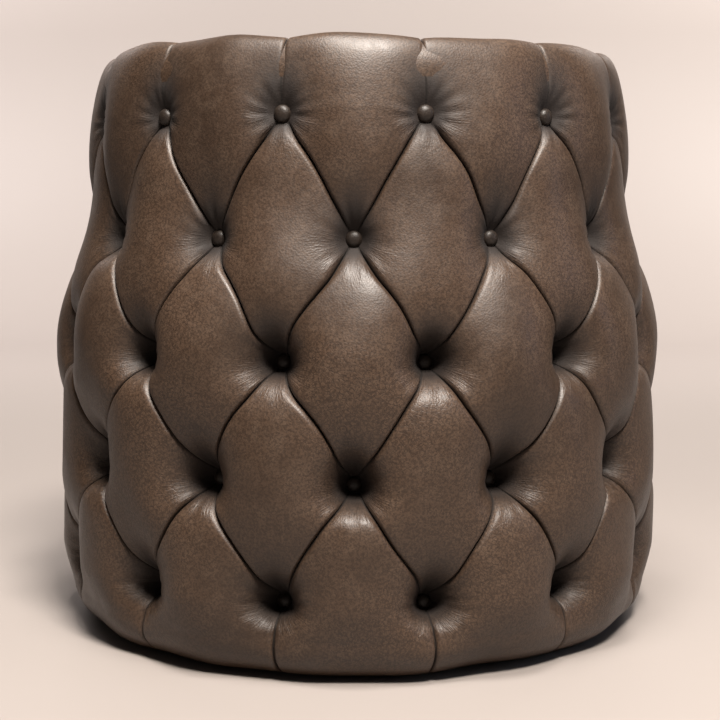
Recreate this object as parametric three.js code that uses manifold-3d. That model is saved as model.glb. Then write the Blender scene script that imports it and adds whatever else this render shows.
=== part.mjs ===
// Round, deep-buttoned leather ottoman with a lift-off padded lid over a storage well.
// Units are millimetres, +Z is up, the front faces -Y, and the origin is on the floor
// under the middle of the drum.

import * as THREE from 'three';
import Module from 'manifold-3d';
import { mergeGeometries, mergeVertices } from 'three/addons/utils/BufferGeometryUtils.js';

const wasm = await Module();
wasm.setup();

// ---------------------------------------------------------------- driving dimensions

const DRUM_RADIUS = 250; // leather at its fullest
const HEIGHT = 460; // floor to the crest of the rolled rim
const GAP = 0.3; // left between pieces that touch

// deep buttoning: staggered rows, so the leather stands in diamonds
const BUTTONS_PER_ROW = 13;
const BUTTON_ROWS = 5;
const LOWEST_ROW_Z = 52.5;
const ROW_STEP = 87.8;
const BUTTON_RADIUS = 7;
const BUTTON_HEIGHT = 6;
const BUTTON_HOLE_RADIUS = 9;
const BUTTON_SEAT_RADIUS = 211.9; // from the drum's axis to the flat back of a cap
const HOLLOW_REACH = 19; // how far round a button the leather is drawn in

// wooden drum
const BOARD_RADIUS = 185.7;
const BASE_BOARD_Z = 9.1;
const BASE_BOARD_THICKNESS = 18;
const TOP_RING_Z = 405;
const TOP_RING_THICKNESS = 18;
const TOP_RING_BORE = 150;
const SKIN_THICKNESS = 3;
const POST_COUNT = 8;
const POST_SIZE = { radial: 20, tangential: 40 };
const POST_INNER_FACE = 163;

// storage well
const WELL_RADIUS = 160;
const LINER_THICKNESS = 2.5;
const FLOOR_LINING_THICKNESS = 3;

// padding and leather of the wall
const FOAM_RADIUS = 211.4;
const LEATHER_BACK_RADIUS = 212.6;
const LEATHER_BOTTOM_Z = 6;
const LEATHER_THICKNESS = 2.6;
const HEM_RADIUS = 178; // where the leather ends under the base board
const RIM_CREST_RADIUS = 190;
const RIM_INNER_RADIUS = 168.5;

// feet and underside
const GLIDE_COUNT = 4;
const GLIDE_RADIUS = 15;
const GLIDE_CIRCLE = 150;
const DUST_COVER_RADIUS = 174;
const DUST_COVER_THICKNESS = 0.8;

// lid
const LID_RADIUS = 160.2;
const LID_BOARD_RADIUS = 157.5;
const LID_BOARD_THICKNESS = 12;
const LID_LOCATOR_RADIUS = 147.5;
const LID_LOCATOR_THICKNESS = 12;
const LID_SHOULDER_Z = 449;
const LID_CROWN_Z = 466;
const LID_PADDING_SKIN = 4; // leather and wadding over the lid's foam
const LID_WELT_RADIUS = 2;
const LID_BUTTON_CIRCLE = 84;
const LID_BUTTON_COUNT = 6;
const LID_BUTTON_SEAT_Z = 447;
const PULL_TAB = { width: 24, thickness: 1.8, bottom: 436, top: 458, y: -165.9 };

// number of straight sides that stand for a full circle
const FINE = 4 * BUTTONS_PER_ROW;
const COARSE = 2 * BUTTONS_PER_ROW;
const CAP_SIDES = 6;
const GLIDE_SIDES = 16;
const WELT_SIDES = 6;

// ---------------------------------------------------------------- materials

function material(color, roughness, metalness = 0) {
  return new THREE.MeshStandardMaterial({ color, roughness, metalness });
}

const LEATHER = material('#5b4537', 0.42);
const DARK_LEATHER = material('#3c2c22', 0.4);
const FOAM = material('#d8cfa6', 0.95);
const PLYWOOD = material('#c79f6d', 0.7);
const SOFTWOOD = material('#d9b98a', 0.75);
const FIBREBOARD = material('#8f6b48', 0.85);
const LINING = material('#3a322d', 0.9);
const BLACK_CLOTH = material('#161616', 0.95);
const BLACK_PLASTIC = material('#1d1d1f', 0.5);

// ---------------------------------------------------------------- geometry helpers

const ottoman = new THREE.Group();

function add(name, geometry, pieceMaterial) {
  const mesh = new THREE.Mesh(geometry, pieceMaterial);
  mesh.name = name;
  ottoman.add(mesh);
  return mesh;
}

// Turns an outline of [radius, height] points round the Z axis. Angle zero is the front.
// An outline that doesn't run from axis to axis is closed on itself.
function turned(outline, sides = FINE) {
  const points = outline.map(([radius, height]) => new THREE.Vector2(radius, height));
  const onAxis = points[0].x === 0 && points.at(-1).x === 0;
  if (!onAxis) points.push(points[0].clone());
  return new THREE.LatheGeometry(points, sides).rotateX(Math.PI / 2);
}

function disc(radius, bottom, thickness, sides = FINE) {
  const top = bottom + thickness;
  return turned([[0, bottom], [radius, bottom], [radius, top], [0, top]], sides);
}

function ring(inner, outer, bottom, top, sides = FINE) {
  return turned([[outer, bottom], [outer, top], [inner, top], [inner, bottom]], sides);
}

// A quarter of an ellipse as [radius, height] points, without its two end points.
function quarterArc(centre, radii, startDegrees, endDegrees, steps) {
  const arc = [];
  for (let step = 1; step < steps; step += 1) {
    const angle = THREE.MathUtils.degToRad(
      THREE.MathUtils.lerp(startDegrees, endDegrees, step / steps),
    );
    arc.push([centre[0] + radii[0] * Math.cos(angle), centre[1] + radii[1] * Math.sin(angle)]);
  }
  return arc;
}

function toSolid(geometry) {
  const bare = geometry.clone();
  bare.deleteAttribute('normal');
  bare.deleteAttribute('uv');
  const merged = mergeVertices(bare, 1e-3);
  const mesh = new wasm.Mesh({
    numProp: 3,
    vertProperties: Float32Array.from(merged.getAttribute('position').array),
    triVerts: Uint32Array.from(merged.index.array),
  });
  mesh.merge();
  return new wasm.Manifold(mesh);
}

function toGeometry(solid) {
  const mesh = solid.getMesh();
  const geometry = new THREE.BufferGeometry();
  geometry.setAttribute('position', new THREE.BufferAttribute(mesh.vertProperties, 3));
  geometry.setIndex(new THREE.BufferAttribute(mesh.triVerts, 1));
  geometry.computeVertexNormals();
  return geometry;
}

function cut(geometry, cutters) {
  return toGeometry(toSolid(geometry).subtract(toSolid(mergeGeometries(cutters))));
}

function join(geometries) {
  const solids = geometries.map(toSolid);
  return toGeometry(solids.reduce((whole, solid) => whole.add(solid)));
}

// ---------------------------------------------------------------- the button lattice

const HALF_PITCH = Math.PI / BUTTONS_PER_ROW;
const ROW_HEIGHTS = Array.from({ length: BUTTON_ROWS }, (_, row) => LOWEST_ROW_Z + row * ROW_STEP);

// Rows alternate: every second row, counted from the bottom, has a button at the front.
function buttonAngles(row) {
  const offset = row % 2 === 1 ? 0 : HALF_PITCH;
  return Array.from({ length: BUTTONS_PER_ROW }, (_, place) => offset + 2 * HALF_PITCH * place);
}

// Stands a piece modelled along +Z out from the drum's wall at an angle and a height.
function onWall(geometry, angle, distance, height) {
  const outward = new THREE.Vector3(Math.sin(angle), -Math.cos(angle), 0);
  const turn = new THREE.Quaternion().setFromUnitVectors(new THREE.Vector3(0, 0, 1), outward);
  const place = outward.multiplyScalar(distance).setZ(height);
  return geometry.clone().applyQuaternion(turn).translate(place.x, place.y, place.z);
}

// How much of the fullness is left at a point of the wall: 0 at a button, 1 far from it.
function fullness(angle, height) {
  let nearest = Infinity;
  ROW_HEIGHTS.forEach((rowHeight, row) => {
    const offset = row % 2 === 1 ? 0 : HALF_PITCH;
    const turns = (angle - offset) / (2 * HALF_PITCH);
    const along = (turns - Math.round(turns)) * 2 * HALF_PITCH * LEATHER_BACK_RADIUS;
    nearest = Math.min(nearest, Math.hypot(along, height - rowHeight));
  });
  return 1 - Math.exp(-((nearest / HOLLOW_REACH) ** 2));
}

// ---------------------------------------------------------------- wooden drum

const baseBoardTop = BASE_BOARD_Z + BASE_BOARD_THICKNESS;
const ringTop = TOP_RING_Z + TOP_RING_THICKNESS;
const skinInner = BOARD_RADIUS + GAP;
const skinOuter = skinInner + SKIN_THICKNESS;

function addDrum() {
  add('base_board', disc(BOARD_RADIUS, BASE_BOARD_Z, BASE_BOARD_THICKNESS, COARSE), PLYWOOD);
  add('top_ring', ring(TOP_RING_BORE, BOARD_RADIUS - 1.5, TOP_RING_Z, ringTop), PLYWOOD);
  add('outer_skin', ring(skinInner, skinOuter, BASE_BOARD_Z, ringTop, COARSE), FIBREBOARD);

  const postHeight = TOP_RING_Z - baseBoardTop - 2 * GAP;
  for (let place = 0; place < POST_COUNT; place += 1) {
    const post = new THREE.BoxGeometry(POST_SIZE.tangential, POST_SIZE.radial, postHeight);
    post.translate(0, -(POST_INNER_FACE + POST_SIZE.radial / 2), (baseBoardTop + TOP_RING_Z) / 2);
    post.rotateZ((2 * Math.PI * place) / POST_COUNT);
    add(`post_${place + 1}`, post, SOFTWOOD);
  }
}

function addWell() {
  const floorBottom = baseBoardTop + GAP;
  const linerOuter = WELL_RADIUS + LINER_THICKNESS;
  add('inner_liner', ring(WELL_RADIUS, linerOuter, floorBottom, TOP_RING_Z - GAP), LINING);
  add('floor_lining', disc(WELL_RADIUS - GAP, floorBottom, FLOOR_LINING_THICKNESS), LINING);
}

// ---------------------------------------------------------------- feet and underside

function addUnderside() {
  const dustCoverBottom = BASE_BOARD_Z - GAP - DUST_COVER_THICKNESS;
  add('dust_cover', disc(DUST_COVER_RADIUS, dustCoverBottom, DUST_COVER_THICKNESS), BLACK_CLOTH);

  const top = dustCoverBottom - GAP;
  const chamfer = 2;
  for (let place = 0; place < GLIDE_COUNT; place += 1) {
    const angle = (2 * Math.PI * (place + 0.5)) / GLIDE_COUNT;
    const outline = [
      [0, 0],
      [GLIDE_RADIUS - chamfer, 0],
      [GLIDE_RADIUS, chamfer],
      [GLIDE_RADIUS, top],
      [0, top],
    ];
    const glide = add(`glide_${place + 1}`, turned(outline, GLIDE_SIDES), BLACK_PLASTIC);
    glide.position.set(GLIDE_CIRCLE * Math.sin(angle), -GLIDE_CIRCLE * Math.cos(angle), 0);
  }
}

// ---------------------------------------------------------------- padding of the wall

// The foam has a groove at each row for the twine that ties the buttons back.
const TWINE = { inner: 207.5, outer: 212.2, halfHeight: 1.5 };

function addWallFoam() {
  const inner = skinOuter + 2;
  const grooveFloor = TWINE.inner - 2 * GAP;
  const grooveHalf = TWINE.halfHeight + 2 * GAP;
  const outline = [[inner, ringTop], [inner, BASE_BOARD_Z], [FOAM_RADIUS, BASE_BOARD_Z]];
  for (const height of ROW_HEIGHTS) {
    outline.push(
      [FOAM_RADIUS, height - grooveHalf],
      [grooveFloor, height - grooveHalf],
      [grooveFloor, height + grooveHalf],
      [FOAM_RADIUS, height + grooveHalf],
    );
  }
  outline.push([FOAM_RADIUS, ringTop]);
  add('wall_foam', turned(outline, COARSE), FOAM);
}

function addRimFoam() {
  const bottom = ringTop + GAP;
  const thickness = LEATHER_THICKNESS + 4 * GAP;
  const inner = RIM_INNER_RADIUS + thickness + 1;
  const crest = HEIGHT - thickness - 2;
  const springLine = ringTop + 4;
  const outline = [
    [FOAM_RADIUS, bottom],
    [FOAM_RADIUS, springLine],
    ...quarterArc(
      [RIM_CREST_RADIUS, springLine],
      [FOAM_RADIUS - RIM_CREST_RADIUS, crest - springLine],
      0, 90, 4,
    ),
    [RIM_CREST_RADIUS, crest],
    ...quarterArc(
      [RIM_CREST_RADIUS, springLine],
      [RIM_CREST_RADIUS - inner, crest - springLine],
      90, 180, 3,
    ),
    [inner, springLine],
    [inner, bottom],
  ];
  add('rim_foam', turned(outline, COARSE), FOAM);
}

// ---------------------------------------------------------------- buttoned leather wall

// The leather's fullest radius at a height: the band above the top row is pulled in
// over the frame, and the diamonds below it swell out.
function fullRadius(height) {
  const bandRadius = 225;
  const flareTop = 345;
  const flareBottom = 225;
  const flare = THREE.MathUtils.smoothstep(flareTop - height, 0, flareTop - flareBottom);
  return THREE.MathUtils.lerp(bandRadius, DRUM_RADIUS, flare);
}

function wallOutline() {
  const stepsPerRow = 4;
  const step = ROW_STEP / stepsPerRow;
  const wallBottom = LOWEST_ROW_Z - step;
  const wallTop = ROW_HEIGHTS.at(-1);
  const count = Math.round((wallTop - wallBottom) / step);
  return Array.from({ length: count + 1 }, (_, index) => wallBottom + index * step)
    .map((height) => [fullRadius(height), height]);
}

function leatherOutline() {
  const wall = wallOutline();
  const [bottomRadius, wallBottom] = wall[0];
  const [topRadius, wallTop] = wall.at(-1);
  const hemTop = LEATHER_BOTTOM_Z + LEATHER_THICKNESS - GAP;
  const backTop = HEIGHT - LEATHER_THICKNESS;
  const rimInnerBack = RIM_INNER_RADIUS + LEATHER_THICKNESS;
  const rimBottom = ringTop + GAP;
  const springLine = ringTop + 4;
  const corner = bottomRadius - 20;
  return [
    [HEM_RADIUS, LEATHER_BOTTOM_Z],
    [corner, LEATHER_BOTTOM_Z],
    ...quarterArc(
      [corner, wallBottom],
      [bottomRadius - corner, wallBottom - LEATHER_BOTTOM_Z],
      270, 360, 3,
    ),
    ...wall,
    ...quarterArc(
      [RIM_CREST_RADIUS, wallTop],
      [topRadius - RIM_CREST_RADIUS, HEIGHT - wallTop],
      0, 90, 4,
    ),
    [RIM_CREST_RADIUS, HEIGHT],
    ...quarterArc(
      [RIM_CREST_RADIUS, springLine],
      [RIM_CREST_RADIUS - RIM_INNER_RADIUS, HEIGHT - springLine],
      90, 180, 3,
    ),
    [RIM_INNER_RADIUS, springLine],
    [RIM_INNER_RADIUS, rimBottom],
    [rimInnerBack, rimBottom],
    [rimInnerBack, springLine],
    ...quarterArc(
      [RIM_CREST_RADIUS, springLine],
      [RIM_CREST_RADIUS - rimInnerBack, backTop - springLine],
      180, 90, 3,
    ),
    [RIM_CREST_RADIUS, backTop],
    ...quarterArc(
      [RIM_CREST_RADIUS, springLine],
      [LEATHER_BACK_RADIUS - RIM_CREST_RADIUS, backTop - springLine],
      90, 0, 3,
    ),
    [LEATHER_BACK_RADIUS, springLine],
    [LEATHER_BACK_RADIUS, hemTop],
    [HEM_RADIUS, hemTop],
  ];
}

// Draws the leather in at each button, from its full outline towards the foam.
function drawInAtButtons(geometry) {
  const position = geometry.getAttribute('position');
  const insideLimit = LEATHER_BACK_RADIUS + 1;
  const lowLimit = LEATHER_BOTTOM_Z + LEATHER_THICKNESS;
  for (let index = 0; index < position.count; index += 1) {
    const x = position.getX(index);
    const y = position.getY(index);
    const z = position.getZ(index);
    const radius = Math.hypot(x, y);
    if (radius < insideLimit || z < lowLimit) continue;
    const left = fullness(Math.atan2(x, -y), z);
    const drawn = THREE.MathUtils.lerp(insideLimit, radius, left);
    position.setXY(index, (x * drawn) / radius, (y * drawn) / radius);
  }
  return geometry;
}

function addWallCover() {
  const leather = drawInAtButtons(turned(leatherOutline()));
  const depth = DRUM_RADIUS - FOAM_RADIUS + 20;
  const hole = new THREE.CylinderGeometry(BUTTON_HOLE_RADIUS, BUTTON_HOLE_RADIUS, depth, CAP_SIDES);
  hole.rotateX(Math.PI / 2);
  const holes = ROW_HEIGHTS.flatMap((height, row) =>
    buttonAngles(row).map((angle) => onWall(hole, angle, FOAM_RADIUS - 10 + depth / 2, height)));
  add('wall_cover', cut(leather, holes), LEATHER);
}

// ---------------------------------------------------------------- buttons

function buttonCap() {
  const outline = [
    [0, 0],
    [BUTTON_RADIUS, 0.3 * BUTTON_HEIGHT],
    [0.7 * BUTTON_RADIUS, 0.8 * BUTTON_HEIGHT],
    [0, BUTTON_HEIGHT],
  ];
  return turned(outline, CAP_SIDES);
}

function addWallButtons() {
  ROW_HEIGHTS.forEach((height, row) => {
    const { inner, outer, halfHeight } = TWINE;
    const twine = ring(inner, outer, height - halfHeight, height + halfHeight, COARSE);
    const caps = buttonAngles(row)
      .map((angle) => onWall(buttonCap(), angle, BUTTON_SEAT_RADIUS, height));
    add(`button_row_${row + 1}`, join([twine, ...caps]), DARK_LEATHER);
  });
}

// ---------------------------------------------------------------- lid

function lidButtonPlaces() {
  const places = [[0, 0]];
  for (let place = 0; place < LID_BUTTON_COUNT; place += 1) {
    const angle = (2 * Math.PI * place) / LID_BUTTON_COUNT;
    places.push([LID_BUTTON_CIRCLE * Math.sin(angle), -LID_BUTTON_CIRCLE * Math.cos(angle)]);
  }
  return places;
}

function lidHoles(bottom) {
  const height = LID_CROWN_Z + 10 - bottom;
  return lidButtonPlaces().map(([x, y]) => {
    const hole = new THREE.CylinderGeometry(BUTTON_HOLE_RADIUS, BUTTON_HOLE_RADIUS, height, CAP_SIDES);
    return hole.rotateX(Math.PI / 2).translate(x, y, bottom + height / 2);
  });
}

function addLid() {
  const boardBottom = ringTop + LEATHER_THICKNESS / 2 + 2 * GAP;
  const boardTop = boardBottom + LID_BOARD_THICKNESS;
  const lipBottom = ringTop + GAP;
  const lipTop = boardBottom - GAP;
  const locatorTop = boardBottom - GAP;
  const locatorBottom = locatorTop - LID_LOCATOR_THICKNESS;
  const liningThickness = 1.5;
  const lipInner = LID_LOCATOR_RADIUS + 1;

  add('lid_board', disc(LID_BOARD_RADIUS, boardBottom, LID_BOARD_THICKNESS, COARSE), PLYWOOD);
  add('lid_locator', disc(LID_LOCATOR_RADIUS, locatorBottom, LID_LOCATOR_THICKNESS), PLYWOOD);
  add(
    'lid_lining',
    disc(LID_LOCATOR_RADIUS, locatorBottom - GAP - liningThickness, liningThickness),
    LINING,
  );

  const shoulder = LID_SHOULDER_Z;
  const innerShoulder = shoulder - LID_PADDING_SKIN;
  const innerCrown = LID_CROWN_Z - LID_PADDING_SKIN;
  const foamOutline = [
    [0, boardTop + GAP],
    [LID_BOARD_RADIUS - 1, boardTop + GAP],
    [LID_BOARD_RADIUS - 1, innerShoulder],
    [0.8 * LID_BOARD_RADIUS, THREE.MathUtils.lerp(innerShoulder, innerCrown, 0.65)],
    [0.4 * LID_BOARD_RADIUS, THREE.MathUtils.lerp(innerShoulder, innerCrown, 0.95)],
    [0, innerCrown],
  ];
  const pocketBottom = LID_BUTTON_SEAT_Z - GAP;
  add('lid_foam', cut(turned(foamOutline, COARSE), lidHoles(pocketBottom)), FOAM);

  const innerWall = LID_BOARD_RADIUS + GAP;
  const coverOutline = [
    [lipInner, lipBottom],
    [LID_RADIUS, lipBottom],
    [LID_RADIUS, shoulder],
    [0.8 * LID_BOARD_RADIUS, THREE.MathUtils.lerp(shoulder, LID_CROWN_Z, 0.65)],
    [0.4 * LID_BOARD_RADIUS, THREE.MathUtils.lerp(shoulder, LID_CROWN_Z, 0.95)],
    [0, LID_CROWN_Z],
    [0, innerCrown + GAP],
    [0.4 * LID_BOARD_RADIUS, THREE.MathUtils.lerp(innerShoulder, innerCrown, 0.95) + GAP],
    [0.8 * LID_BOARD_RADIUS, THREE.MathUtils.lerp(innerShoulder, innerCrown, 0.65) + GAP],
    [innerWall, innerShoulder + GAP],
    [innerWall, lipTop],
    [lipInner, lipTop],
  ];
  add('lid_cover', cut(turned(coverOutline), lidHoles(pocketBottom)), LEATHER);

  lidButtonPlaces().forEach(([x, y], place) => {
    const name = place === 0 ? 'lid_button_centre' : `lid_button_${place}`;
    add(name, buttonCap(), DARK_LEATHER).position.set(x, y, LID_BUTTON_SEAT_Z);
  });
}

function addLidTrim() {
  const centre = [LID_RADIUS + 2 * GAP + LID_WELT_RADIUS, LID_SHOULDER_Z];
  const welt = Array.from({ length: WELT_SIDES }, (_, side) => {
    const angle = (2 * Math.PI * (side + 0.5)) / WELT_SIDES;
    return [
      centre[0] + LID_WELT_RADIUS * Math.cos(angle),
      centre[1] + LID_WELT_RADIUS * Math.sin(angle),
    ];
  });
  add('lid_welt', turned(welt), DARK_LEATHER);

  const { width, thickness, bottom, top, y } = PULL_TAB;
  const tab = add('pull_tab', new THREE.BoxGeometry(width, thickness, top - bottom), DARK_LEATHER);
  tab.position.set(0, y, (bottom + top) / 2);
}

addDrum();
addWell();
addUnderside();
addWallFoam();
addRimFoam();
addWallCover();
addWallButtons();
addLid();
addLidTrim();

export default ottoman;
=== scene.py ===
import math

import bmesh
import bpy
import numpy as np
from mathutils import Matrix, Vector


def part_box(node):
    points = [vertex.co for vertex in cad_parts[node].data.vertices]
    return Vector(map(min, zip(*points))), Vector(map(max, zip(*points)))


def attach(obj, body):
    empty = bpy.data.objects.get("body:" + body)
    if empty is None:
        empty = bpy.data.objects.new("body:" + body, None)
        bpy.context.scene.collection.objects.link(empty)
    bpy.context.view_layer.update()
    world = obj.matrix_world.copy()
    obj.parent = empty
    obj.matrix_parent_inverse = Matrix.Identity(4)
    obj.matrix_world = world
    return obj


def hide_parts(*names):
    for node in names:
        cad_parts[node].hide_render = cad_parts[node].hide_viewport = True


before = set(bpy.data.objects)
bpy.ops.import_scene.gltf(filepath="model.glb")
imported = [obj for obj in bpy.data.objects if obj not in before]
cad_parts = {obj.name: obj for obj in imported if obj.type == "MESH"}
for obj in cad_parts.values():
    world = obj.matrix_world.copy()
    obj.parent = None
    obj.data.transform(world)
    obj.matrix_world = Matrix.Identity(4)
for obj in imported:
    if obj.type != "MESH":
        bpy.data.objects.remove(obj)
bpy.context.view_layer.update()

# ------------------------------------------------------------------ sizes, in metres

AROUND = 13  # buttons in one row
HALF = math.pi / AROUND  # angle from one button column to the next
ROWS = 5
ROW_BOXES = [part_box(f"button_row_{row + 1}") for row in range(ROWS)]
ROW_Z = np.array([(low.z + high.z) / 2 for low, high in ROW_BOXES])
ROW_STEP = float(ROW_Z[1] - ROW_Z[0])

COVER_LOW, COVER_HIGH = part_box("wall_cover")
HEM_Z = COVER_LOW.z
CREST_Z = COVER_HIGH.z
RIM_BOTTOM_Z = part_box("top_ring")[1].z + 0.0004
BULGE_RADIUS = COVER_HIGH.x + 0.002  # a diamond's middle stands a little proud of the CAD hull
BAND_RADIUS = 0.2256  # the narrower band above the top row
FLARE_TOP, FLARE_BOTTOM = 0.358, 0.226
TUCK_TOP, TUCK_DEPTH, TUCK_POWER = 0.062, 0.0221, 1.8  # how the wall draws in towards its foot
RIM_SPRING_Z = 0.360  # where the band starts to round over into the rim
CREST_RADIUS = 0.194
RIM_INNER_RADIUS = 0.1685
HEM_RADIUS = 0.178
FOOT_Z = 0.0010  # the padded foot hangs a little below its hem, almost to the floor
SEAT_RADIUS = 0.2126  # deepest the leather is drawn in between the buttons, just off the foam
PIT_DEPTH = 0.0038  # how much deeper it goes under a button, into a pit in the foam
PIT_REACH = 0.011
UNROLL_RADIUS = 0.235  # where the wall is measured when it is laid out flat
COLUMN = HALF * UNROLL_RADIUS

BUTTON_RADIUS = 0.0067
BUTTON_HEIGHT = 0.0058
BUTTON_SEAT = 0.2082

CREASE_FLOOR = 0.0048  # depth of a fold halfway between its buttons
PLEAT_FLOOR = 0.0034  # the same for the upright pleats above and below the diamonds
LID_CREASE_FLOOR = 0.0045
CREASE_MOUTH = 0.0025  # half width of a fold
GATHER_REACH = 0.016  # how far from a button a fold deepens, and by how much it deepens and widens there
GATHER_DEPTH = 0.010
GATHER_WIDTH = 0.007
LIP_RISE = 0.0005  # how far a fold's lips lean sideways over it
LIP_NEAR, LIP_FAR = 0.0009, 0.006
# the dark line along a fold is painted shade
FOLD_SHADE_HALF_WIDTH = 0.0009  # half width of the dark line at the bottom of a fold
RIM_LIMIT = 0.006  # most the leather is sunk over the rim, where the foam is close behind it
CROWN = 0.0056
CROWN_POWER = 0.8
BAND_CROWN = 0.0072  # the pillows above the top row stand rounder
BOW = 0.0032  # how far the folds are bent upwards
WANDER = 0.0011  # how far the folds stray from their even places
SWELL_HEIGHT = 0.0010
PUCKER_HEIGHT = 0.00045
PUCKER_COUNT = 13  # small gathers round each button
FOLD_SIDE, FOLD_UP = 0.839, 0.543  # the direction square to a slanted fold
DOWN_LEFT = (-FOLD_SIDE, -FOLD_UP)
DOWN_RIGHT = (FOLD_SIDE, -FOLD_UP)
PLEAT_LEAN = (0.9, 0.0)
HOLLOW_REACH = np.array([0.0125, 0.0125, 0.0125, 0.0130, 0.0155])  # one per row
HOLLOW_END = (0.045, 0.065)  # a hollow fades out between these distances from its button
# how far the painted shade round a button reaches
SHADE_REACH = np.array([0.0105, 0.0105, 0.0110, 0.0130, 0.0155])  # one per row

FOAM_GAP = 0.002
RIM_FOAM_CREST = 0.190
BACK_RADIUS = 0.2118  # the leather's inner face, on the foam
BACK_GAP = 0.0048  # from the rim's crest down to the leather's inner face
BACK_SPRING_Z = 0.428  # where the inner face starts to round over

LID_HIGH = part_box("lid_cover")[1]
LID_RADIUS = LID_HIGH.x + 0.0003
LID_CROWN_Z = LID_HIGH.z
LID_CROWN_DEPTH = 0.0045
LID_EDGE_LIMIT = 0.0035
LID_HOLLOW_REACH = 0.017
LID_LEATHER = 0.0026
LID_RING_RADIUS = 0.084
LID_SEAT_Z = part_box("lid_button_centre")[0].z
LID_RING_COUNT = 6
LID_SECTOR = 2 * math.pi / LID_RING_COUNT
LID_SWELL_HEIGHT = 0.0008
LID_EDGE_TOP_Z = 0.4505
LID_BOTTOM_Z = 0.4236
LID_LIP_RADIUS = 0.1485

DIAMOND_STEPS = 40
LID_STEPS = 26
LID_TOP_POINTS = 70


# ------------------------------------------------------------------ small numeric helpers

def smoothstep(x, low, high):
    t = np.clip((x - low) / (high - low), 0, 1)
    return t * t * (3 - 2 * t)


def crowded(count):
    """count + 1 numbers from 0 to 1, close together at both ends."""
    pull = 0.9
    x = np.linspace(0, 1, count + 1)
    return x - pull * np.sin(2 * np.pi * x) / (2 * np.pi)


def round_axis(radius, angle, height):
    """Points at a distance from the drum's axis. Angle 0 is the front."""
    height = height + 0 * angle
    return np.stack([radius * np.sin(angle), -radius * np.cos(angle), height], -1)


def normals_of(outline, run):
    """Unit vectors square to an outline, on its right hand side."""
    slope = np.gradient(outline, run, axis=0)
    normal = np.stack([slope[:, 1], -slope[:, 0]], 1)
    return normal / np.linalg.norm(normal, axis=1)[:, None]


def distances_along(outline):
    return np.concatenate([[0], np.cumsum(np.hypot(*np.diff(outline, axis=0).T))])


class Ripple:
    """Smooth seeded noise over the wall. It repeats after one turn round the drum."""

    def __init__(self, seed, turns, rise, waves=14):
        random = np.random.default_rng(seed)
        self.turns = random.integers(-turns, turns + 1, waves)
        self.rise = random.uniform(-rise, rise, waves)
        self.phase = random.uniform(0, 2 * np.pi, waves)
        self.scale = 1 / math.sqrt(waves / 2)

    def __call__(self, angle, height):
        total = np.zeros_like(angle)
        for turn, rise, phase in zip(self.turns, self.rise, self.phase):
            total += np.cos(turn * angle + rise * height + phase)
        return total * self.scale


# ------------------------------------------------------------------ mesh helpers

WELD = 2e-6  # points closer than this are one point


class Patches:
    """Collects grids of points and welds them into one mesh."""

    def __init__(self):
        self.points, self.faces, self.uvs, self.fields = [], [], [], {}
        self.count = 0

    def add(self, points, uv, flip=False, **fields):
        """points is a (rows, columns, 3) grid, uv the same with 2; fields are named values per point."""
        rows, columns = points.shape[:2]
        index = self.count + np.arange(rows * columns).reshape(rows, columns)
        quads = np.stack([index[:-1, :-1], index[:-1, 1:], index[1:, 1:], index[1:, :-1]], -1)
        quads = quads.reshape(-1, 4)
        self.faces.append(quads[:, ::-1] if flip else quads)
        self.points.append(points.reshape(-1, 3))
        self.uvs.append(uv.reshape(-1, 2))
        for name, values in fields.items():
            self.fields.setdefault(name, []).append(values.reshape(rows * columns, -1))
        self.count += rows * columns

    def build(self, name):
        points = np.concatenate(self.points)
        uvs = np.concatenate(self.uvs)
        faces = np.concatenate(self.faces)
        keys = np.round(points / WELD).astype(np.int64)
        _, first, back = np.unique(keys, axis=0, return_index=True, return_inverse=True)
        back = back.reshape(-1)
        corners, shapes = [], []
        for face in faces:
            welded = back[face]
            kept = [k for k in range(4) if welded[k] != welded[k - 1]]
            if len(kept) >= 3:
                shapes.append([int(welded[k]) for k in kept])
                corners.extend(int(face[k]) for k in kept)
        mesh = bpy.data.meshes.new(name)
        mesh.from_pydata(points[first].tolist(), [], shapes)
        layer = mesh.uv_layers.new(name="flat")
        layer.data.foreach_set("uv", uvs[corners].astype(np.float32).ravel())
        for field, values in self.fields.items():
            values = np.concatenate(values)[first].astype(np.float32)
            kind = "FLOAT" if values.shape[1] == 1 else "FLOAT_VECTOR"
            attribute = mesh.attributes.new(field, kind, "POINT")
            attribute.data.foreach_set("value" if kind == "FLOAT" else "vector", values.ravel())
        seal(mesh, 2 * WELD)
        mesh.shade_smooth()
        mesh.update()
        return finish_piece(name, mesh)


def placed(piece, body, slot, *nodes):
    """Makes a piece ride on a body and stand for CAD nodes, which it hides. The slot is not used."""
    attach(piece, body)
    if nodes:
        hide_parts(*nodes)
    return piece


def seal(mesh, gap):
    """Joins points that rounding has kept apart, and turns the faces outwards."""
    work = bmesh.new()
    work.from_mesh(mesh)
    bmesh.ops.remove_doubles(work, verts=work.verts, dist=gap)
    if work.calc_volume(signed=True) < 0:
        bmesh.ops.reverse_faces(work, faces=work.faces)
    work.to_mesh(mesh)
    work.free()


def plain_fields(shape):
    """The named values of leather that has no fold or button near it."""
    zero = np.zeros(shape)
    return {"fold": zero, "gather": zero, "button_gap": zero + 1, "to_button": np.ones((*shape, 3))}


def finish_piece(name, mesh):
    piece = bpy.data.objects.new(name, mesh)
    bpy.context.scene.collection.objects.link(piece)
    return piece


def turned(name, outline, sides=96, closed=False):
    """Turns (radius, height) points round Z. A closed outline ends where it starts."""
    outline = np.array(outline, float)
    if closed:
        outline = np.vstack([outline, outline[:1]])
    angle = np.linspace(0, 2 * np.pi, sides + 1)
    radius, height = outline[:, 0][:, None], outline[:, 1][:, None]
    run = distances_along(outline)
    uv = np.stack([0 * radius + angle * UNROLL_RADIUS, run[:, None] + 0 * angle], -1)
    patches = Patches()
    patches.add(round_axis(radius, angle, height), uv)
    return patches.build(name)


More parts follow.
